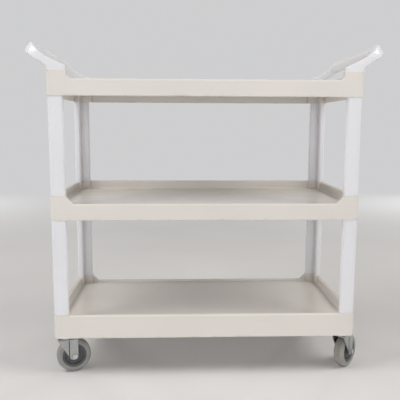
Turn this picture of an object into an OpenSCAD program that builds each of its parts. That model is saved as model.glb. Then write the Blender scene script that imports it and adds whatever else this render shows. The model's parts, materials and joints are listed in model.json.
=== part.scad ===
// Three-shelf service trolley on four swivel castors.
// Origin on the floor under the middle of the trolley. X is its length, Y runs from front to back, Z is up.

/* [Frame] */
// Length over the outer faces of the uprights
frame_len = 880; // [700:10:1100]
// Depth over the outer faces of the uprights
frame_depth = 460; // [380:10:600]
// Height from the underside of one shelf to the underside of the next
shelf_pitch = 347; // [280:1:420]

/* [Shelves] */
// Height of a shelf at its socket blocks, its ends and its high side
shelf_h = 69; // [60:1:90]
// Height of a shelf at its low side
low_h = 47; // [44:0.5:54]
// Height of the tray floor above the underside of its shelf
floor_h = 42; // [32:1:43]
// Thickness of the tray floor
floor_t = 5; // [4:0.5:8]
// Width of the rims round the tray
rim_w = 14; // [12:0.5:18]
// Thickness of the skirt below the tray floor
skirt_t = 6; // [4:0.5:8]
// Rounding of the outer top edge of the rims
rim_outer_r = 5; // [2:0.5:6]
// Rounding of the inner top edge of the rims
rim_inner_r = 4; // [2:0.5:5]
// Rounding of the lower edge of the skirt
skirt_edge_r = 2.5; // [1:0.5:2.5]
// Fillet between the rims and the tray floor
floor_fillet = 5; // [2:0.5:7]
// Slope of the rises from the low side to the socket blocks
swoop_slope = 45; // [35:1:60]
// Rounding of the outer edge of those rises
swoop_edge_r = 4; // [2:0.5:6]
// Rounding of the inner edge of those rises
swoop_lip_r = 3; // [1:0.5:4]
// How far those rises stand back from the inner face of the rim
swoop_inset = 0.25; // [0.25:0.25:1]
// How far those rises end below the top of the socket blocks
swoop_step = 1; // [0.5:0.5:3]
// Height of those rises on the top shelf, where the handles stand above them
top_swoop_h = 11; // [6:0.5:12]
// Length of a socket block along X
block_len = 47.5; // [47:0.5:60]
// Length along X of the top shelf's socket blocks, which carry the handles
top_block_len = 57; // [55:0.5:66]
// Length of a socket block along Y
block_depth = 61.5; // [60:0.5:75]
// Thickness of the flanges of a socket block
block_t = 22; // [20:0.5:26]
// Radius of the outer corners of a shelf
shelf_corner_r = 19.5; // [14:0.5:22]
// How far the shelves stand out from the uprights
shelf_proud = 1.5; // [0.5:0.5:3]

/* [Uprights] */
// Length of the upright's flange along X
upright_len = 45; // [36:1:47]
// Length of the upright's flange along Y
upright_depth = 55; // [44:1:58]
// Thickness of the upright's flanges
upright_t = 19; // [12:0.5:19]
// Height of the tenon at each end of an upright
tenon_h = 18; // [12:1:20]
// How far a tenon steps in from the faces of its upright or handle
tenon_step = 3; // [2.5:0.5:4]

/* [Handles] */
// Width of a handle's arm where it stands on its socket block
arm_w = 54; // [46:1:55]
// Thickness of a handle's arm along Y
arm_t = 20; // [16:0.5:21]
// Height of the arm's upright inner edge above its socket block
arm_shoulder = 13; // [8:1:20]
// Width of the arm just above its bend
neck_w = 24.5; // [20:0.5:36]
// Width of the handle's bar, square to the slope
bar_w = 36; // [30:1:46]
// Breadth of the handle's bar, along the slope
bar_b = 37; // [28:1:42]
// Height of the arm's straight foot
arm_foot = 5; // [1:1:12]
// Radius of the outer edge of the bend above the foot
arm_bend_r = 10; // [4:1:20]
// Lean of the bar away from upright
arm_lean = 57; // [40:1:64]
// Length of the straight stretch between the bend and the corner
arm_run = 17; // [8:1:40]
// Radius of the handle's corners at the middle of the bar
handle_corner_r = 40; // [34:1:60]

/* [Castors] */
// Distance from a castor's swivel axis to the outer face of the uprights along X
castor_inset_x = 23; // [20:0.5:30]
// Distance from a castor's swivel axis to the outer face of the uprights along Y
castor_inset_y = 45; // [38:0.5:52]
// Distance from the swivel axis back to the axle
trail = 25; // [20:1:32]
// Direction in which the front left wheel trails, turned from +X
front_left_turn = 19; // [-180:1:180]
// Direction in which the front right wheel trails, turned from +X
front_right_turn = 48; // [-180:1:180]
// Direction in which the rear left wheel trails, turned from +X
rear_left_turn = -25; // [-180:1:180]
// Direction in which the rear right wheel trails, turned from +X
rear_right_turn = -120; // [-180:1:180]
// Diameter of the stem
stem_d = 11; // [9:0.5:13]
// Thickness of plastic left above a stem's socket
socket_roof = 5; // [3:0.5:10]
// Free length of socket above the end of the stem
stem_end_gap = 2; // [1:0.5:4]
// Diameter of the stem's collar
collar_d = 20; // [17:0.5:24]
// Thickness of the stem's collar
collar_t = 3; // [2:0.5:5]
// Diameter of the riveted head under the fork
rivet_d = 18; // [15:0.5:22]
// Thickness of the riveted head
rivet_t = 2.6; // [1.5:0.1:3]
// Wall of the socket that holds the stem
socket_wall = 2; // [1.5:0.5:3]
// Diameter of the boss around the socket
boss_d = 34; // [28:1:40]
// Thickness of the fork's sheet metal
fork_t = 2.5; // [2:0.1:3.5]
// Gap between the top of the wheel and the fork
wheel_top_gap = 4.5; // [4:0.5:10]
// Gap between each side of the tyre and the fork
wheel_side_gap = 3; // [2:0.5:5]
// Reach of the fork's crown ahead of the swivel axis
crown_front = 22; // [20.5:0.5:28]
// Reach of the fork's crown behind the swivel axis
crown_back = 36; // [32:0.5:46]
// Width of a fork leg at the axle
leg_end_w = 20; // [18:0.5:26]
// Distance from the axle forward to the groove pressed into each fork leg
groove_lead = 15.5; // [13:0.5:18]
// Width of that groove
groove_w = 4; // [2:0.5:5]
// Depth of that groove
groove_depth = 1.2; // [0.5:0.1:1.5]
// Radius of the bends between the crown and the legs
crown_r = 8; // [5:0.5:10]
// Diameter of a bearing ball
ball_d = 5; // [4:0.25:6]
// Number of bearing balls
ball_count = 14; // [8:1:15]
// Radius of the ring of balls
ball_ring_r = 14.5; // [13:0.5:16]
// Depth of the ball tracks
track_depth = 1; // [0.6:0.1:1.3]
// Radius of the fork's lower race
race_r = 20; // [18.5:0.5:22]
// Thickness of the lower race above the crown
race_t = 2; // [1.8:0.1:3]
// Thickness of the upper race
cap_t = 3; // [2.5:0.1:4]
// Thickness of the skirt round the upper race
cap_skirt_t = 1.5; // [1:0.1:2.5]

/* [Wheels] */
// Diameter of the tyre
wheel_d = 100; // [80:1:125]
// Width of the tyre
tyre_w = 30; // [24:1:38]
// Thickness of the tyre
tyre_t = 14.5; // [10:0.5:18]
// Rounding of the tyre's inner edges
tyre_edge_r = 1; // [0.5:0.5:2]
// Rounding of the tyre's shoulders
shoulder_r = 8; // [4:0.5:8]
// Width of the wheel core's rim
core_rim_w = 25; // [20:0.5:28]
// Thickness of the wheel core's rim
core_rim_t = 7; // [4:0.5:8]
// Thickness of the wheel core's disc
core_disc_t = 9; // [6:0.5:14]
// Rounding of the wheel core's outer edges
core_edge_r = 1; // [0.5:0.5:2]
// Fillets in the hollows of the wheel core
core_fillet = 2; // [1:0.5:3]
// Diameter of the wheel's hub
hub_d = 26; // [22:0.5:34]
// Width of the wheel's hub
hub_w = 34; // [31:0.5:34.5]
// Diameter of the sleeve that the wheel turns on
sleeve_d = 13; // [11.5:0.1:16]
// Diameter of the axle bolt
bolt_d = 8; // [6:0.5:9]
// Size of the bolt's head and of the nut across their flats
hex_af = 13; // [11:0.5:15]
// Height of the bolt's head
head_h = 5.5; // [4:0.1:7]
// Height of the nut
nut_h = 7.5; // [5:0.1:9]
// Length of bolt that shows past the nut
bolt_tail = 2; // [1:0.5:4]

/* [Clearances] */
// Clearance round the tenons in their sockets
tenon_gap = 0.2; // [0.1:0.05:0.4]
// Running clearance on the radius of a shaft that turns
running_gap = 0.05; // [0.02:0.01:0.1]
// Clearance on the radius of a fixed fit
fixed_gap = 0.05; // [0.02:0.01:0.1]
// Clearance between a ball and each track
ball_gap = 0.05; // [0.02:0.01:0.1]
// Clearance under the crown above the riveted head
thrust_gap = 0.2; // [0.1:0.05:0.3]
// Gap between the lower race and the skirt of the upper race
cap_gap = 0.7; // [0.5:0.1:1.2]

/* [Hidden] */
$fn = 64;
// Steps in a rounded corner of an outline
arc_steps = 8;
// Overlap where two solids of one piece are joined
joined = 1;
// Rounding of the inner edges of a socket block and of the edges of an upright
block_edge_r = 4;
upright_edge_r = upright_t * 0.3;
// Fillet between the skirt and the underside of the floor
skirt_fillet = 3;
// Points round a handle and rings in its bends and corners
handle_points = 20;
bend_steps = 8;
corner_steps = 8;
// Power of the handle's squarish section, where 1 is an ellipse
squareness = 0.45;

// Heights of the castor, from the floor up
axle_z = wheel_d / 2;
crown_z0 = wheel_d + wheel_top_gap;
crown_z1 = crown_z0 + fork_t;
race_z = crown_z1 + race_t;
ball_z = race_z - track_depth + ball_gap + ball_d / 2;
cap_z0 = race_z + ball_d - 2 * track_depth + 2 * ball_gap;
cap_z1 = cap_z0 + cap_t;
castor_h = cap_z1 + collar_t;

// Heights of the shelves
bottom_z = castor_h;
middle_z = bottom_z + shelf_pitch;
top_z = middle_z + shelf_pitch;
upright_h = shelf_pitch - shelf_h;

// Half sizes over the shelves, and the inner edge of the floor strip that each rim carries
half_x = frame_len / 2 + shelf_proud;
half_y = frame_depth / 2 + shelf_proud;
tongue = rim_w + floor_fillet + joined;

// Height of a rise from the low side to a socket block
swoop_h = shelf_h - swoop_step - low_h;

// Sizes shared by the uprights, the handles and their sockets
upright_corner_r = shelf_corner_r - shelf_proud;
peg_t = upright_t - 2 * tenon_step;
arm_x = frame_len / 2 - arm_w / 2;
arm_y = frame_depth / 2 - arm_t / 2;

// Sizes shared by the castors and their sockets
castor_x = frame_len / 2 - castor_inset_x;
castor_y = frame_depth / 2 - castor_inset_y;
socket_len = floor_h - socket_roof;
stem_len = socket_len - stem_end_gap;
socket_r = stem_d / 2 + fixed_gap + socket_wall;
leg_inner = tyre_w / 2 + wheel_side_gap;
leg_outer = leg_inner + fork_t;
core_r = wheel_d / 2 - tyre_t;
hex_r = hex_af / 2 / cos(30);

// Corners of the trolley: name, side along X, side along Y, direction in which the wheel trails
CORNERS = [
    ["front_left", -1, -1, front_left_turn],
    ["front_right", 1, -1, front_right_turn],
    ["rear_left", -1, 1, rear_left_turn],
    ["rear_right", 1, 1, rear_right_turn],
];
LEVELS = [["lower", bottom_z], ["upper", middle_z]];
ENDS = [["left", -1], ["right", 1]];
CASTOR_PIECES = [
    "stem_socket", "castor_stem", "upper_race", "bearing_balls", "fork",
    "axle_bolt", "axle_nut", "axle_sleeve", "wheel_core", "tyre",
];

PLASTIC = [0.88, 0.86, 0.83];
ZINC = [0.72, 0.73, 0.74];
STEEL = [0.55, 0.56, 0.58];
CORE_GREY = [0.42, 0.44, 0.47];
TYRE_GREY = [0.50, 0.50, 0.49];

// Outlines

function unit(v) = v / norm(v);

// Points of a polygon whose corners [x, y, r] are rounded to radius r
function rounded(corners) = [
    for (i = [0 : len(corners) - 1])
        let (
            n = len(corners),
            p = [corners[i].x, corners[i].y],
            before = corners[(i + n - 1) % n],
            after = corners[(i + 1) % n],
            u = unit([before.x, before.y] - p),
            v = unit([after.x, after.y] - p),
            half = acos(u * v) / 2,
            r = corners[i][2],
            centre = p + unit(u + v) * r / sin(half),
            start = p + u * r / tan(half) - centre,
            way = u.x * v.y - u.y * v.x < 0 ? 1 : -1
        )
        each r == 0 ? [p] : [
            for (k = [0 : arc_steps])
                let (a = way * (180 - 2 * half) * k / arc_steps)
                centre + [start.x * cos(a) - start.y * sin(a), start.x * sin(a) + start.y * cos(a)]
        ]
];

// L-shaped outline with its outer corner at the origin and its flanges along -X and +Y
function l_outline(len_x, len_y, t, corner_r, outer_r, inner_r) = rounded([
    [0, 0, corner_r],
    [0, len_y, outer_r],
    [-t, len_y, inner_r],
    [-t, t, inner_r],
    [-len_x, t, inner_r],
    [-len_x, 0, outer_r],
]);

// Moves a piece drawn for the front right corner, with its outer corner at the origin, to any corner
module at_corner(corner, x, y) {
    translate([corner[1] * x, corner[2] * y, 0])
        mirror([corner[1] < 0 ? 1 : 0, 0, 0])
            mirror([0, corner[2] > 0 ? 1 : 0, 0])
                children();
}

// Shelves

// Radius that fits twice into the lip of a rim of height h
function lip_r(h, r) = min(r, (h - floor_h) * 0.45);

// Section of a rim of height h, with its outer face on the axis and the tray on the negative side
module rim_section(h) {
    polygon(rounded([
        [0, 0, skirt_edge_r],
        [0, h, rim_outer_r],
        [-rim_w, h, lip_r(h, rim_inner_r)],
        [-rim_w, floor_h, lip_r(h, floor_fillet)],
        [-tongue, floor_h, 0],
        [-tongue, floor_h - floor_t, 0],
        [-skirt_t, floor_h - floor_t, skirt_fillet],
        [-skirt_t, 0, 0],
    ]));
}

// Straight rim of height h that faces along angle, at a distance reach from the middle
module rim(angle, reach, length, h) {
    rotate(angle)
        translate([reach, 0, 0])
            rotate([90, 0, 0])
                linear_extrude(length, center = true)
                    rim_section(h);
}

// The two sloping rises of height h at the ends of a low rim that faces along angle
module swoops(angle, block_x, h) {
    run = h / tan(swoop_slope);
    length = h / sin(swoop_slope) + rim_w;
    depth = h * cos(swoop_slope) + rim_w;
    for (flip = [0, 1])
        rotate(angle)
            mirror([0, flip, 0])
                translate([half_y, half_x - block_x + joined, 0])
                    intersection() {
                        translate([0, 0, low_h + h])
                            rotate([90 + swoop_slope, 0, 0])
                                linear_extrude(length)
                                    polygon(rounded([
                                        [0, 0, swoop_edge_r],
                                        [0, -depth, 0],
                                        [swoop_inset - rim_w, -depth, 0],
                                        [swoop_inset - rim_w, 0, swoop_lip_r],
                                    ]));
                        translate([-rim_w - joined, -run - rim_w, floor_h - floor_t])
                            cube([rim_w + 2 * joined, run + rim_w + block_x - joined, shelf_h]);
                    }
}

// L-shaped block that holds the ends of the uprights
module socket_block(block_x) {
    linear_extrude(shelf_h)
        polygon(l_outline(block_x, block_depth, block_t, shelf_corner_r, 0, block_edge_r));
}

// Plan of the two pegs on the end of an upright, from its outer corner
module pegs(gap) {
    translate([-upright_len + tenon_step - gap, tenon_step - gap])
        square([upright_len - tenon_step - upright_corner_r + 2 * gap, peg_t + 2 * gap]);
    translate([-upright_t + tenon_step - gap, upright_corner_r - gap])
        square([peg_t + 2 * gap, upright_depth - tenon_step - upright_corner_r + 2 * gap]);
}

// Cuts the sockets for the pegs of four uprights, between two heights
module peg_sockets(z0, z1) {
    for (corner = CORNERS)
        at_corner(corner, frame_len / 2, frame_depth / 2)
            translate([0, 0, z0])
                linear_extrude(z1 - z0)
                    pegs(tenon_gap);
}

module lower_sockets() {
    peg_sockets(-joined, tenon_h + tenon_gap);
}

module upper_sockets() {
    peg_sockets(shelf_h - tenon_h - tenon_gap, shelf_h + joined);
}

// Tray with its rims and socket blocks of length block_x, whose low side is the front (-1) or the back (1).
// From that side it rises by swoop to the blocks.
module tray(low_side, block_x, swoop) {
    for (corner = CORNERS)
        at_corner(corner, half_x, half_y)
            socket_block(block_x);
    for (angle = [0, 180])
        rim(angle, half_x, 2 * (half_y - block_depth + joined), shelf_h);
    rim(-90 * low_side, half_y, 2 * (half_x - block_x + joined), shelf_h);
    rim(90 * low_side, half_y, 2 * (half_x - block_x + joined), low_h);
    swoops(90 * low_side, block_x, swoop);
    translate([0, 0, floor_h - floor_t / 2])
        cube([2 * (half_x - tongue + joined), 2 * (half_y - tongue + joined), floor_t], center = true);
}

module top_shelf() {
    color(PLASTIC)
        translate([0, 0, top_z])
            difference() {
                tray(-1, top_block_len, top_swoop_h);
                lower_sockets();
                for (end = ENDS, side = [-1, 1])
                    translate([end[1] * arm_x, side * arm_y, shelf_h - tenon_h - tenon_gap])
                        linear_extrude(tenon_h + joined)
                            polygon(section(
                                arm_w / 2 - tenon_step + tenon_gap,
                                arm_t / 2 - tenon_step + tenon_gap
                            ));
            }
}

module middle_shelf() {
    color(PLASTIC)
        translate([0, 0, middle_z])
            difference() {
                tray(-1, block_len, swoop_h);
                lower_sockets();
                upper_sockets();
            }
}

module bottom_shelf() {
    color(PLASTIC)
        translate([0, 0, bottom_z])
            difference() {
                union() {
                    tray(1, block_len, swoop_h);
                    for (corner = CORNERS)
                        translate([corner[1] * castor_x, corner[2] * castor_y, 0])
                            cylinder(d = boss_d, h = floor_h - floor_t / 2);
                }
                upper_sockets();
                for (corner = CORNERS)
                    translate([corner[1] * castor_x, corner[2] * castor_y, -joined])
                        cylinder(r = socket_r + fixed_gap, h = socket_len + joined);
            }
}

// Uprights

module upright(corner, z) {
    color(PLASTIC)
        translate([0, 0, z + shelf_h])
            at_corner(corner, frame_len / 2, frame_depth / 2) {
                linear_extrude(upright_h)
                    polygon(l_outline(
                        upright_len, upright_depth, upright_t, upright_corner_r, upright_edge_r, upright_edge_r
                    ));
                translate([0, 0, -tenon_h])
                    linear_extrude(upright_h + 2 * tenon_h)
                        pegs(0);
            }
}

// Handles

// Squarish section with the given half sizes
function section(half_n, half_b) = [
    for (k = [0 : handle_points - 1])
        let (a = 360 * k / handle_points)
        [
            half_n * sign(cos(a)) * pow(abs(cos(a)), squareness),
            half_b * sign(sin(a)) * pow(abs(sin(a)), squareness)
        ]
];

// Value that eases from a to b as t goes from 0 to 1
function ease(a, b, t) = a + (b - a) * t * t * (3 - 2 * t);

// Points of the ring with its outer edge at a place along the handle, square to the way it runs
function ring(edge, way, normal, w, b) = [
    for (p = section(w / 2, b / 2)) edge + normal * (p.x - w / 2) + cross(way, normal) * p.y
];

// Width of an arm at angle a of its bend: its inner edge is upright up to the shoulder, then straight to the neck.
// The shoulder and the neck are placed from the middle of the bend, inwards and up.
function arm_width(a) =
    let (
        shoulder = [arm_w + arm_bend_r, arm_shoulder - arm_foot],
        neck = (neck_w + arm_bend_r) * [cos(arm_lean), sin(arm_lean)],
        edge = neck - shoulder,
        upright = shoulder.x / cos(a),
        straight = cross(shoulder, edge) / cross([cos(a), sin(a)], edge)
    )
    min(upright, straight) - arm_bend_r;

// Rings of the front half of a handle, from the tenon up the arm and round the corner.
// The arm's outer edge stands on the origin, with the lean towards +X.
slope = [sin(arm_lean), 0, cos(arm_lean)];
slope_normal = [cos(arm_lean), 0, -sin(arm_lean)];
bend_centre = [arm_bend_r, 0, arm_foot];
corner_start = bend_centre - arm_bend_r * slope_normal + arm_run * slope;
up = [0, 0, 1];
out = [1, 0, 0];
half_handle = concat(
    [
        for (z = [-tenon_h, 0])
            ring([-tenon_step, 0, z], up, out, arm_w - 2 * tenon_step, arm_t - 2 * tenon_step)
    ],
    [ring([0, 0, 0], up, out, arm_w, arm_t)],
    [
        for (i = [0 : bend_steps])
            let (a = arm_lean * i / bend_steps, normal = [cos(a), 0, -sin(a)])
            ring(bend_centre - arm_bend_r * normal, [sin(a), 0, cos(a)], normal, arm_width(a), arm_t)
    ],
    [
        for (i = [0 : corner_steps])
            let (t = i / corner_steps, a = 90 * t)
            ring(
                corner_start + handle_corner_r * (slope * sin(a) + [0, 1 - cos(a), 0]),
                slope * cos(a) + [0, sin(a), 0],
                slope_normal,
                ease(neck_w, bar_w, t),
                ease(arm_t, bar_b, t)
            )
    ]
);

// Both halves as one run of rings: the back half is the front half mirrored, run the other way
handle_rings = concat(
    [for (r = half_handle) [for (p = r) p - [0, arm_y, 0]]],
    [for (i = [len(half_handle) - 1 : -1 : 0]) [
        for (k = [0 : handle_points - 1])
            let (p = half_handle[i][k])
            [p.x, arm_y - p.y, p.z]
    ]]
);

module handle(side) {
    n = handle_points;
    rows = len(handle_rings);
    walls = [
        for (i = [0 : rows - 2], k = [0 : n - 1])
            let (a = i * n + k, b = i * n + (k + 1) % n)
            each [[a, a + n, b + n], [a, b + n, b]]
    ];
    caps = [[for (k = [0 : n - 1]) k], [for (k = [n - 1 : -1 : 0]) (rows - 1) * n + k]];
    color(PLASTIC)
        mirror([side < 0 ? 1 : 0, 0, 0])
            translate([frame_len / 2, 0, top_z + shelf_h])
                polyhedron([for (r = handle_rings) each r], concat(walls, caps));
}

// Castors, drawn on the floor with the swivel axis on Z and the wheel trailing towards +X

module at_castor(corner) {
    translate([corner[1] * castor_x, corner[2] * castor_y, 0])
        rotate(corner[3])
            children();
}

// Puts what is drawn along Z on the axle, so that +Z points to the head of the axle bolt
module on_axle() {
    translate([trail, 0, axle_z])
        rotate([90, 0, 0])
            children();
}

// Groove of the balls' tracks
module ball_track() {
    translate([0, 0, ball_z])
        rotate_extrude()
            translate([ball_ring_r, 0])
                circle(r = ball_d / 2 + ball_gap, $fn = 32);
}

module stem_socket() {
    color(STEEL)
        translate([0, 0, castor_h])
            difference() {
                cylinder(r = socket_r, h = socket_len);
                translate([0, 0, -joined])
                    cylinder(r = stem_d / 2 + fixed_gap, h = socket_len + 2 * joined);
            }
}

module castor_stem() {
    rivet_z = crown_z0 - thrust_gap - rivet_t;
    color(ZINC) {
        translate([0, 0, rivet_z])
            cylinder(d = rivet_d, h = rivet_t);
        translate([0, 0, rivet_z])
            cylinder(d = stem_d, h = castor_h + stem_len - rivet_z);
        translate([0, 0, cap_z1])
            cylinder(d = collar_d, h = collar_t);
    }
}

module upper_race() {
    cap_r = race_r + cap_gap + cap_skirt_t;
    color(ZINC)
        difference() {
            rotate_extrude()
                polygon(rounded([
                    [stem_d / 2 + fixed_gap, cap_z0, 0],
                    [race_r + cap_gap, cap_z0, 0],
                    [race_r + cap_gap, race_z - race_t / 2, 0],
                    [cap_r, race_z - race_t / 2, 0],
                    [cap_r, cap_z1, cap_skirt_t],
                    [stem_d / 2 + fixed_gap, cap_z1, 0],
                ]));
            ball_track();
        }
}

module bearing_balls() {
    color(STEEL)
        for (k = [0 : ball_count - 1])
            rotate(360 * k / ball_count)
                translate([ball_ring_r, 0, ball_z])
                    sphere(d = ball_d);
}

module fork() {
    leg_z = axle_z - leg_end_w / 2;
    color(ZINC)
        difference() {
            union() {
                intersection() {
                    translate([-crown_front - joined, 0, 0])
                        rotate([90, 0, 90])
                            linear_extrude(crown_front + crown_back + 2 * joined)
                                polygon(rounded([
                                    [-leg_outer, leg_z - joined, 0],
                                    [-leg_outer, crown_z1, crown_r],
                                    [leg_outer, crown_z1, crown_r],
                                    [leg_outer, leg_z - joined, 0],
                                    [leg_inner, leg_z - joined, 0],
                                    [leg_inner, crown_z0, crown_r - fork_t],
                                    [-leg_inner, crown_z0, crown_r - fork_t],
                                    [-leg_inner, leg_z - joined, 0],
                                ]));
                    rotate([90, 0, 0])
                        linear_extrude(2 * leg_outer + 2 * joined, center = true)
                            polygon(rounded([
                                [-crown_front, crown_z1 + joined, 0],
                                [crown_back, crown_z1 + joined, 0],
                                [trail + leg_end_w / 2, leg_z, leg_end_w * 0.45],
                                [trail - leg_end_w / 2, leg_z, leg_end_w * 0.45],
                                [-crown_front, crown_z0 - crown_r / 2, crown_r],
                            ]));
                }
                translate([0, 0, crown_z0])
                    cylinder(r = race_r, h = race_z - crown_z0);
            }
            translate([0, 0, crown_z0 - joined])
                cylinder(d = stem_d + 2 * running_gap, h = race_z - crown_z0 + 2 * joined);
            ball_track();
            on_axle()
                cylinder(d = bolt_d + 2 * fixed_gap, h = 3 * leg_outer, center = true);
            for (side = [-1, 1])
                translate([trail - groove_lead, side * leg_outer, (leg_z + crown_z1 - crown_r - joined) / 2])
                    cube([groove_w, 2 * groove_depth, crown_z1 - crown_r - leg_z + joined], center = true);
        }
}

module axle_bolt() {
    color(STEEL)
        on_axle() {
            translate([0, 0, leg_outer])
                cylinder(r = hex_r, h = head_h, $fn = 6);
            translate([0, 0, -leg_outer - nut_h - bolt_tail])
                cylinder(d = bolt_d, h = 2 * leg_outer + nut_h + bolt_tail + head_h / 2);
        }
}

module axle_nut() {
    color(STEEL)
        on_axle()
            translate([0, 0, -leg_outer - nut_h])
                difference() {
                    cylinder(r = hex_r, h = nut_h, $fn = 6);
                    translate([0, 0, -joined])
                        cylinder(d = bolt_d + 2 * fixed_gap, h = nut_h + 2 * joined);
                }
}

module axle_sleeve() {
    color(STEEL)
        on_axle()
            difference() {
                cylinder(d = sleeve_d, h = 2 * leg_inner, center = true);
                cylinder(d = bolt_d + 2 * fixed_gap, h = 2 * leg_inner + joined, center = true);
            }
}

module wheel_core() {
    rim_in = core_r - core_rim_t;
    bore_r = sleeve_d / 2 + running_gap;
    color(CORE_GREY)
        on_axle()
            rotate_extrude()
                polygon(rounded([
                    [bore_r, -hub_w / 2, 0],
                    [hub_d / 2, -hub_w / 2, core_edge_r],
                    [hub_d / 2, -core_disc_t / 2, core_fillet],
                    [rim_in, -core_disc_t / 2, core_fillet],
                    [rim_in, -core_rim_w / 2, core_edge_r],
                    [core_r, -core_rim_w / 2, 0],
                    [core_r, core_rim_w / 2, 0],
                    [rim_in, core_rim_w / 2, core_edge_r],
                    [rim_in, core_disc_t / 2, core_fillet],
                    [hub_d / 2, core_disc_t / 2, core_fillet],
                    [hub_d / 2, hub_w / 2, core_edge_r],
                    [bore_r, hub_w / 2, 0],
                ]));
}

module tyre() {
    color(TYRE_GREY)
        on_axle()
            rotate_extrude()
                polygon(rounded([
                    [core_r + fixed_gap, -tyre_w / 2, tyre_edge_r],
                    [wheel_d / 2, -tyre_w / 2, shoulder_r],
                    [wheel_d / 2, tyre_w / 2, shoulder_r],
                    [core_r + fixed_gap, tyre_w / 2, tyre_edge_r],
                ]));
}

top_shelf();
middle_shelf();
bottom_shelf();
for (level = LEVELS, corner = CORNERS)
    upright(corner, level[1]);
for (end = ENDS)
    handle(end[1]);
for (corner = CORNERS) {
    at_castor(corner) stem_socket();
    at_castor(corner) castor_stem();
    at_castor(corner) upper_race();
    at_castor(corner) bearing_balls();
    at_castor(corner) fork();
    at_castor(corner) axle_bolt();
    at_castor(corner) axle_nut();
    at_castor(corner) axle_sleeve();
    at_castor(corner) wheel_core();
    at_castor(corner) tyre();
}
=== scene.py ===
import json
from math import pi, radians

import bpy
from mathutils import Matrix, Vector


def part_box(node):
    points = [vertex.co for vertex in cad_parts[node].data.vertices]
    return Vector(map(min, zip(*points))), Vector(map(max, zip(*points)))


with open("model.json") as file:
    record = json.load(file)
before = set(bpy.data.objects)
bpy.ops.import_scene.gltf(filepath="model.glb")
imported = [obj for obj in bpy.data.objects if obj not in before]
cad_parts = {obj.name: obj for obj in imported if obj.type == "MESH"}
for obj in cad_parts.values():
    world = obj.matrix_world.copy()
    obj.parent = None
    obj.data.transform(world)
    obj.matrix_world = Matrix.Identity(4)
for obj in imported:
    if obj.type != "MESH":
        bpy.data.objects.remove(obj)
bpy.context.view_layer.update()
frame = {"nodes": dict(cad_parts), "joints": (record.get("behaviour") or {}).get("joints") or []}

CORNERS = ("front_left", "front_right", "rear_left", "rear_right")

# Colours are linear, as the shaders take them
SHELF_WHITE = (0.735, 0.700, 0.660)
UPRIGHT_WHITE = (0.770, 0.772, 0.808)
ZINC = (0.50, 0.515, 0.53)
STEEL = (0.66, 0.66, 0.67)
CORE_GREY = (0.098, 0.101, 0.109)
TYRE_GREY = (0.310, 0.306, 0.294)
TREAD_DUST = (0.315, 0.285, 0.250)
SCUFF_GREY = (0.30, 0.28, 0.26)
# Near-black colour of the painted shade in the fork grooves
PAINTED_GROOVE_SHADE = (0.025, 0.027, 0.030)
BACKDROP = (0.62, 0.62, 0.63)
FLOOR_GREY = (0.78, 0.78, 0.79)

# Where shade is painted in the groove of each fork leg: its distance ahead of the axle, its half width, and the
# leg's face along the axle
GROOVE_LEAD = 0.0155
GROOVE_HALF = 0.0026
LEG_FACE = 0.0205

# Radii on a wheel, in metres: where its tread begins and is full, the rings on the tyre's sides with their half
# widths, the hollow of the core, and the ring that the mould left on the core
TREAD_RADII = (0.044, 0.048)
SIDE_RINGS = ((0.0395, 0.0008), (0.0435, 0.0006))
HOLLOW_RADII = (0.014, 0.028)
MOULD_RING = (0.021, 0.0007)

# Edges that turn by more degrees than this stay sharp
SHARP_TURN = 35.0

# Lamps: metres, watts, and whether a lamp leaves highlights on what it lights
WORLD_COLOUR = (1.0, 0.95, 0.87)
WORLD_STRENGTH = 0.20
LAMPS = {
    "left": dict(
        place=(-1.6, -6.0, 1.2), target=(0.0, 0.0, 0.6), side=2.4,
        power=66.0, colour=(0.93, 0.97, 1.0), mirrored=False,
    ),
    "right": dict(
        place=(1.6, -6.0, 1.2), target=(0.0, 0.0, 0.6), side=2.4,
        power=60.0, colour=(0.97, 0.97, 0.97), mirrored=False,
    ),
    "high_left": dict(
        place=(-2.6, -1.1, 3.2), target=(0.0, 0.0, 0.5), side=2.0,
        power=72.0, colour=(1.0, 0.98, 0.95), mirrored=True,
    ),
    "high_right": dict(
        place=(2.6, -1.1, 3.2), target=(0.0, 0.0, 0.5), side=2.0,
        power=64.0, colour=(1.0, 0.97, 0.92), mirrored=True,
    ),
    "back_left": dict(
        place=(-3.0, 4.0, 0.5), target=(0.0, 0.0, 0.5), side=0.8,
        power=75.0, colour=(1.0, 0.98, 0.96), mirrored=False,
    ),
    "back_right": dict(
        place=(3.0, 4.0, 0.5), target=(0.0, 0.0, 0.5), side=0.8,
        power=75.0, colour=(1.0, 0.98, 0.96), mirrored=False,
    ),
}

# Heights of the undersides of the three shelves, where dirt gathers on their lower edges
SHELF_FEET = [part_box(f"{level}_shelf")[0].z for level in ("bottom", "middle", "top")]


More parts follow.
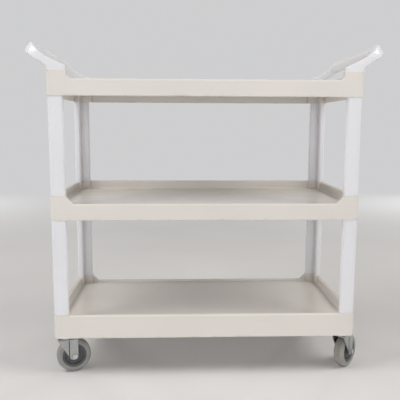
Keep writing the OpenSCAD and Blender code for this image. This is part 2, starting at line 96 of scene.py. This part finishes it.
class Look:
    """A procedural material, whose nodes read the place on the object in metres."""

    def __init__(self, name, **sockets):
        self.material = bpy.data.materials.new(name)
        self.material.use_nodes = True
        self.tree = self.material.node_tree
        self.shader = self.tree.nodes["Principled BSDF"]
        self.place = self.add("TexCoord").outputs["Object"]
        for socket, value in sockets.items():
            self.feed(socket.title(), value)

    def add(self, kind, inputs=(), **settings):
        """Adds a node. Inputs are pairs of a socket's name or number and a value or another node's socket."""
        node = self.tree.nodes.new("ShaderNode" + kind)
        for setting, value in settings.items():
            setattr(node, setting, value)
        for socket, value in inputs:
            self.join(node.inputs[socket], value)
        return node

    def join(self, socket, value):
        if isinstance(value, bpy.types.NodeSocket):
            self.tree.links.new(value, socket)
        else:
            socket.default_value = value

    def feed(self, socket, value):
        """Sets or links one of the shader's own sockets."""
        if isinstance(value, tuple) and len(value) == 3:
            value = (*value, 1.0)
        self.join(self.shader.inputs[socket], value)

    def stretched(self, x, y, z):
        """The place, with each axis multiplied by its own number."""
        return self.add("Mapping", [("Vector", self.place), ("Scale", (x, y, z))]).outputs["Vector"]

    def noise(self, scale, detail=2.0, roughness=0.5, place=None):
        inputs = [
            ("Vector", place or self.place),
            ("Scale", scale),
            ("Detail", detail),
            ("Roughness", roughness),
        ]
        return self.add("TexNoise", inputs).outputs["Fac"]

    def remap(self, value, low, high, to_low=0.0, to_high=1.0):
        """Maps low..high to to_low..to_high and stops at both ends."""
        inputs = [
            ("Value", value),
            ("From Min", low),
            ("From Max", high),
            ("To Min", to_low),
            ("To Max", to_high),
        ]
        return self.add("MapRange", inputs, interpolation_type="SMOOTHSTEP").outputs["Result"]

    def math(self, operation, a, b=0.0):
        return self.add("Math", [(0, a), (1, b)], operation=operation).outputs[0]

    def mix(self, share, a, b):
        """Colour that goes from a to b as share goes from 0 to 1."""
        node = self.add("Mix", data_type="RGBA")
        colours = [c if isinstance(c, bpy.types.NodeSocket) else (*c, 1.0) for c in (a, b)]
        self.join(node.inputs["Factor"], share)
        self.join(node.inputs[6], colours[0])
        self.join(node.inputs[7], colours[1])
        return node.outputs[2]

    def bump(self, height, distance, strength=1.0):
        """Raises the surface by height times distance, over any bump that is there already."""
        node = self.add("Bump", [("Height", height), ("Distance", distance), ("Strength", strength)])
        normal = self.shader.inputs["Normal"]
        if normal.is_linked:
            self.join(node.inputs["Normal"], normal.links[0].from_socket)
        self.join(normal, node.outputs["Normal"])

    def height(self):
        return self.add("SeparateXYZ", [("Vector", self.place)]).outputs["Z"]


def shade(colour, factor):
    return tuple(c * factor for c in colour)


def moulded_plastic(name, colour):
    """Satin plastic with a fine moulded grain, faint flow marks, rubbed streaks and dirt on low edges."""
    look = Look(name)
    flow = look.remap(look.noise(5.0, detail=4.0), 0.3, 0.7)
    tone = look.mix(flow, shade(colour, 0.98), shade(colour, 1.01))
    specks = look.remap(look.noise(420.0, detail=1.0), 0.70, 0.78, 0.0, 0.04)
    tone = look.mix(specks, tone, SCUFF_GREY)

    streaks = look.noise(1.0, detail=3.0, place=look.stretched(9.0, 120.0, 170.0))
    rubbed = look.math("MULTIPLY", look.remap(streaks, 0.64, 0.74), look.remap(look.noise(3.0), 0.50, 0.66))
    tone = look.mix(look.math("MULTIPLY", rubbed, 0.05), tone, SCUFF_GREY)

    height = look.height()
    patchy = look.remap(look.noise(28.0, detail=4.0, roughness=0.65), 0.48, 0.72)
    for foot in SHELF_FEET:
        edge = look.remap(height, foot + 0.001, foot + 0.007, 0.30, 0.0)
        above = look.math("GREATER_THAN", height, foot - 0.002)
        dirt = look.math("MULTIPLY", look.math("MULTIPLY", edge, above), patchy)
        tone = look.mix(dirt, tone, SCUFF_GREY)
    look.feed("Base Color", tone)

    gloss = look.remap(look.noise(11.0, detail=3.0), 0.3, 0.7, 0.18, 0.25)
    look.feed("Roughness", look.math("ADD", gloss, look.math("MULTIPLY", rubbed, 0.08)))
    look.bump(look.noise(1100.0, detail=2.0), 0.00003)
    look.bump(look.noise(30.0), 0.00004)
    return look.material


def along_line(look, start, direction):
    """Distance along a line from its start."""
    reach = look.add("VectorMath", [(0, look.place), (1, tuple(start))], operation="SUBTRACT").outputs["Vector"]
    return look.add("VectorMath", [(0, reach), (1, tuple(direction))], operation="DOT_PRODUCT").outputs["Value"]


def axle_place(look, joint):
    """Distance along a wheel's axle from its middle, and distance from the axle."""
    centre, axis = tuple(joint["pos_m"]), tuple(joint["axis"])
    reach = look.add("VectorMath", [(0, look.place), (1, centre)], operation="SUBTRACT").outputs["Vector"]
    along = look.add("VectorMath", [(0, reach), (1, axis)], operation="DOT_PRODUCT").outputs["Value"]
    run = look.add("VectorMath", [(0, axis), ("Scale", along)], operation="SCALE").outputs["Vector"]
    away = look.add("VectorMath", [(0, reach), (1, run)], operation="SUBTRACT").outputs["Vector"]
    radius = look.add("VectorMath", [(0, away)], operation="LENGTH").outputs["Value"]
    return look.math("ABSOLUTE", along), radius


def band(look, value, centre, half_width):
    """1 at centre, falling to 0 at half_width on both sides."""
    return look.remap(look.math("ABSOLUTE", look.math("SUBTRACT", value, centre)), 0.0, half_width, 1.0, 0.0)


def plated_sheet(name, swivel=None, spin=None):
    """Zinc-plated pressed steel with spangle, drawn lines and uneven sheen. A fork has painted shade in its
    grooves.
    """
    look = Look(name, metallic=1.0)
    spangle = look.add("TexVoronoi", [("Vector", look.place), ("Scale", 260.0)]).outputs["Color"]
    cells = look.add("SeparateColor", [("Color", spangle)]).outputs[0]
    cloud = look.remap(look.noise(40.0, detail=3.0), 0.35, 0.65)
    tone = look.mix(cloud, shade(ZINC, 0.92), (0.54, 0.54, 0.525))
    tone = look.mix(look.math("MULTIPLY", cells, 0.12), tone, shade(ZINC, 0.7))
    if spin:
        across, _ = axle_place(look, spin)
        trail = Vector(spin["pos_m"]) - Vector(swivel["pos_m"])
        trail.z = 0.0
        back = along_line(look, swivel["pos_m"], trail.normalized())
        # Painted shade: a near-black band along the groove of each fork leg stands in for the shadow inside the
        # pressed groove
        groove = band(look, back, trail.length - GROOVE_LEAD, GROOVE_HALF)
        sunk = look.remap(across, LEG_FACE - 0.0008, LEG_FACE - 0.0003, 1.0, 0.0)
        tone = look.mix(look.math("MULTIPLY", groove, sunk), tone, PAINTED_GROOVE_SHADE)
    look.feed("Base Color", tone)
    drawn = look.noise(1.0, detail=2.0, place=look.stretched(1400.0, 1400.0, 90.0))
    rough = look.remap(look.noise(75.0, detail=4.0), 0.3, 0.7, 0.24, 0.40)
    look.feed("Roughness", look.math("ADD", rough, look.math("MULTIPLY", cells, 0.06)))
    look.bump(drawn, 0.00005)
    return look.material


def turned_steel():
    """Bright steel of bolts, nuts and bearing pieces, with a light film of dirt."""
    look = Look("hardware_steel", metallic=1.0)
    film = look.remap(look.noise(190.0, detail=4.0), 0.45, 0.75, 0.0, 0.35)
    look.feed("Base Color", look.mix(film, STEEL, (0.33, 0.31, 0.29)))
    look.feed("Roughness", look.remap(look.noise(300.0, detail=3.0), 0.3, 0.7, 0.16, 0.34))
    look.bump(look.noise(1500.0), 0.00003)
    return look.material


def tyre_rubber(name, joint):
    """Grey rubber with a dusty tread, a mould line round it and rings moulded into its sides."""
    look = Look(name)
    along, radius = axle_place(look, joint)
    cloud = look.remap(look.noise(45.0, detail=4.0), 0.35, 0.65)
    tone = look.mix(cloud, shade(TYRE_GREY, 0.90), shade(TYRE_GREY, 1.10))
    middle = look.remap(along, 0.006, 0.013, 1.0, 0.0)
    tread = look.math("MULTIPLY", middle, look.remap(radius, *TREAD_RADII))
    worn = look.remap(look.noise(120.0, detail=5.0, roughness=0.6), 0.35, 0.65, 0.25, 0.80)
    tone = look.mix(look.math("MULTIPLY", tread, worn), tone, TREAD_DUST)
    grit = look.remap(look.noise(650.0, detail=2.0), 0.66, 0.74, 0.0, 0.45)
    tone = look.mix(grit, tone, shade(TYRE_GREY, 0.45))
    line = band(look, along, 0.0, 0.0007)
    rings = look.math("ADD", *(band(look, radius, *ring) for ring in SIDE_RINGS))
    look.feed("Base Color", look.mix(look.math("MULTIPLY", line, 0.35), tone, shade(TYRE_GREY, 0.6)))
    look.feed("Roughness", look.remap(look.noise(200.0, detail=3.0), 0.3, 0.7, 0.58, 0.74))
    look.bump(look.noise(900.0, detail=3.0), 0.00010)
    look.bump(look.math("ADD", line, rings), 0.00045)
    return look.material


def wheel_plastic(name, joint):
    """Bluish grey moulded core with dust in its hollow and a ring left by the mould."""
    look = Look(name)
    along, radius = axle_place(look, joint)
    cloud = look.remap(look.noise(60.0, detail=3.0), 0.35, 0.65)
    tone = look.mix(cloud, shade(CORE_GREY, 0.92), shade(CORE_GREY, 1.08))
    inner = look.remap(along, 0.004, 0.010, 1.0, 0.0)
    hollow = look.math("MULTIPLY", inner, look.remap(radius, *HOLLOW_RADII))
    dust = look.remap(look.noise(150.0, detail=5.0, roughness=0.6), 0.45, 0.75, 0.0, 0.35)
    tone = look.mix(look.math("MULTIPLY", hollow, dust), tone, TREAD_DUST)
    look.feed("Base Color", tone)
    look.feed("Roughness", look.remap(look.noise(90.0, detail=3.0), 0.3, 0.7, 0.40, 0.54))
    look.bump(look.noise(1300.0), 0.00007)
    look.bump(band(look, radius, *MOULD_RING), 0.0004)
    return look.material


def make_smoothing(limit):
    """Modifier tree that joins a mesh's facets and shades it smooth across edges that turn less than limit."""
    tree = bpy.data.node_groups.new("smoothing", "GeometryNodeTree")
    for way in ("INPUT", "OUTPUT"):
        tree.interface.new_socket("Geometry", in_out=way, socket_type="NodeSocketGeometry")
    joined = tree.nodes.new("GeometryNodeMergeByDistance")
    joined.inputs["Distance"].default_value = 0.00001
    plain = tree.nodes.new("GeometryNodeRemoveAttribute")
    plain.inputs["Name"].default_value = "custom_normal"
    faces = tree.nodes.new("GeometryNodeSetShadeSmooth")
    edges = tree.nodes.new("GeometryNodeSetShadeSmooth")
    edges.domain = "EDGE"
    turn = tree.nodes.new("GeometryNodeInputMeshEdgeAngle")
    gentle = tree.nodes.new("FunctionNodeCompare")
    gentle.operation = "LESS_THAN"
    gentle.inputs["B"].default_value = radians(limit)
    tree.links.new(turn.outputs["Unsigned Angle"], gentle.inputs["A"])
    tree.links.new(gentle.outputs["Result"], edges.inputs["Shade Smooth"])
    last = tree.nodes.new("NodeGroupInput")
    for node in (joined, plain, faces, edges, tree.nodes.new("NodeGroupOutput")):
        tree.links.new(last.outputs[0], node.inputs[0])
        last = node
    return tree


smoothing = make_smoothing(SHARP_TURN)


def dress(node, material, edge=0.0):
    """Gives a CAD node its material, softened edges and smooth curved faces."""
    piece = frame["nodes"][node]
    piece.data.materials.clear()
    piece.data.materials.append(material)
    piece.modifiers.new("smoothing", "NODES").node_group = smoothing
    if edge:
        bevel = piece.modifiers.new("soft_edges", "BEVEL")
        bevel.width = edge
        bevel.segments = 2
        bevel.limit_method = "ANGLE"
        bevel.angle_limit = radians(SHARP_TURN)
    normals = piece.modifiers.new("flat_faces", "WEIGHTED_NORMAL")
    normals.keep_sharp = True


shelf_plastic = moulded_plastic("shelf_plastic", SHELF_WHITE)
upright_plastic = moulded_plastic("upright_plastic", UPRIGHT_WHITE)
zinc = plated_sheet("zinc_plate")
steel = turned_steel()

for level in ("top", "middle", "bottom"):
    dress(f"{level}_shelf", shelf_plastic, edge=0.0012)
for level in ("lower", "upper"):
    for corner in CORNERS:
        dress(f"{level}_upright_{corner}", upright_plastic, edge=0.0008)
for side in ("left", "right"):
    dress(f"{side}_handle", upright_plastic)

joints = {joint["name"]: joint for joint in frame["joints"]}
for corner in CORNERS:
    swivel, spin = joints[f"{corner}_swivel"], joints[f"{corner}_wheel_spin"]
    # Each fork has its own zinc material, which holds the painted groove shade
    dress(f"{corner}_fork", plated_sheet(f"{corner}_zinc_plate", swivel, spin), edge=0.0004)
    for piece in ("upper_race", "castor_stem"):
        dress(f"{corner}_{piece}", zinc, edge=0.0004)
    for piece in ("axle_bolt", "axle_nut", "axle_sleeve", "stem_socket"):
        dress(f"{corner}_{piece}", steel, edge=0.0003)
    dress(f"{corner}_bearing_balls", steel)
    dress(f"{corner}_wheel_core", wheel_plastic(f"{corner}_wheel_plastic", spin))
    dress(f"{corner}_tyre", tyre_rubber(f"{corner}_tyre_rubber", spin))


def make_floor():
    """A wide pale floor that fades into the backdrop far from the trolley."""
    bpy.ops.mesh.primitive_plane_add(size=60.0)
    floor = bpy.context.object
    floor.name = "floor"
    look = Look("pale_floor", roughness=0.7)
    cloud = look.remap(look.noise(1.5, detail=3.0), 0.3, 0.7)
    look.feed("Base Color", look.mix(cloud, shade(FLOOR_GREY, 0.98), shade(FLOOR_GREY, 1.02)))
    away = look.add("VectorMath", [(0, look.place)], operation="LENGTH").outputs["Value"]
    far = look.add("Emission", [("Color", (*BACKDROP, 1.0))]).outputs["Emission"]
    both = look.add("MixShader", [(0, look.remap(away, 1.5, 5.0)), (1, look.shader.outputs[0]), (2, far)])
    look.join(look.tree.nodes["Material Output"].inputs["Surface"], both.outputs[0])
    floor.data.materials.append(look.material)


def make_world():
    """Soft even light from all round, with the backdrop's colour where it is seen, mirrored or refracted."""
    world = bpy.data.worlds.new("studio")
    bpy.context.scene.world = world
    world.use_nodes = True
    tree = world.node_tree
    rays = tree.nodes.new("ShaderNodeLightPath")
    seen = rays.outputs["Is Camera Ray"]
    for name in ("Is Glossy Ray", "Is Transmission Ray"):
        either = tree.nodes.new("ShaderNodeMath")
        either.operation = "MAXIMUM"
        tree.links.new(seen, either.inputs[0])
        tree.links.new(rays.outputs[name], either.inputs[1])
        seen = either.outputs[0]
    light = tree.nodes["Background"]
    light.inputs["Color"].default_value = (*WORLD_COLOUR, 1.0)
    light.inputs["Strength"].default_value = WORLD_STRENGTH
    shown = tree.nodes.new("ShaderNodeBackground")
    shown.inputs["Color"].default_value = (*BACKDROP, 1.0)
    both = tree.nodes.new("ShaderNodeMixShader")
    tree.links.new(seen, both.inputs[0])
    tree.links.new(light.outputs[0], both.inputs[1])
    tree.links.new(shown.outputs[0], both.inputs[2])
    tree.links.new(both.outputs[0], tree.nodes["World Output"].inputs["Surface"])


def make_softbox(name, place, target, side, power, colour, mirrored):
    """A square lamp aimed at target. Without mirrored, it lights surfaces but leaves no highlight on them."""
    light = bpy.data.lights.new(name, "AREA")
    light.shape = "RECTANGLE"
    light.size = light.size_y = side
    light.energy = power
    light.color = colour
    lamp = bpy.data.objects.new(name, light)
    lamp.location = place
    lamp.rotation_euler = (Vector(target) - Vector(place)).to_track_quat("-Z", "Y").to_euler()
    lamp.visible_glossy = mirrored
    bpy.context.scene.collection.objects.link(lamp)


def make_camera():
    """Camera at the photograph's place, in metres and radians, with the focal length and image in pixels."""
    place = Vector((-0.0762, -1.7824, 0.7314))
    yaw, pitch, roll = 0.03797, 0.13309, 0.00384
    focal, image = 553.96, 400
    data = bpy.data.cameras.new("camera")
    data.sensor_width = 36.0
    data.lens = focal * data.sensor_width / image
    camera = bpy.data.objects.new("camera", data)
    turns = ((-yaw, "Z"), (pi / 2 - pitch, "X"), (roll, "Z"))
    stand = Matrix.Translation(place)
    for angle, axis in turns:
        stand = stand @ Matrix.Rotation(angle, 4, axis)
    camera.matrix_world = stand
    bpy.context.scene.collection.objects.link(camera)
    bpy.context.scene.camera = camera


make_floor()
make_world()
for name, lamp in LAMPS.items():
    make_softbox(name, **lamp)
make_camera()
bpy.context.scene.view_settings.view_transform = "Standard"
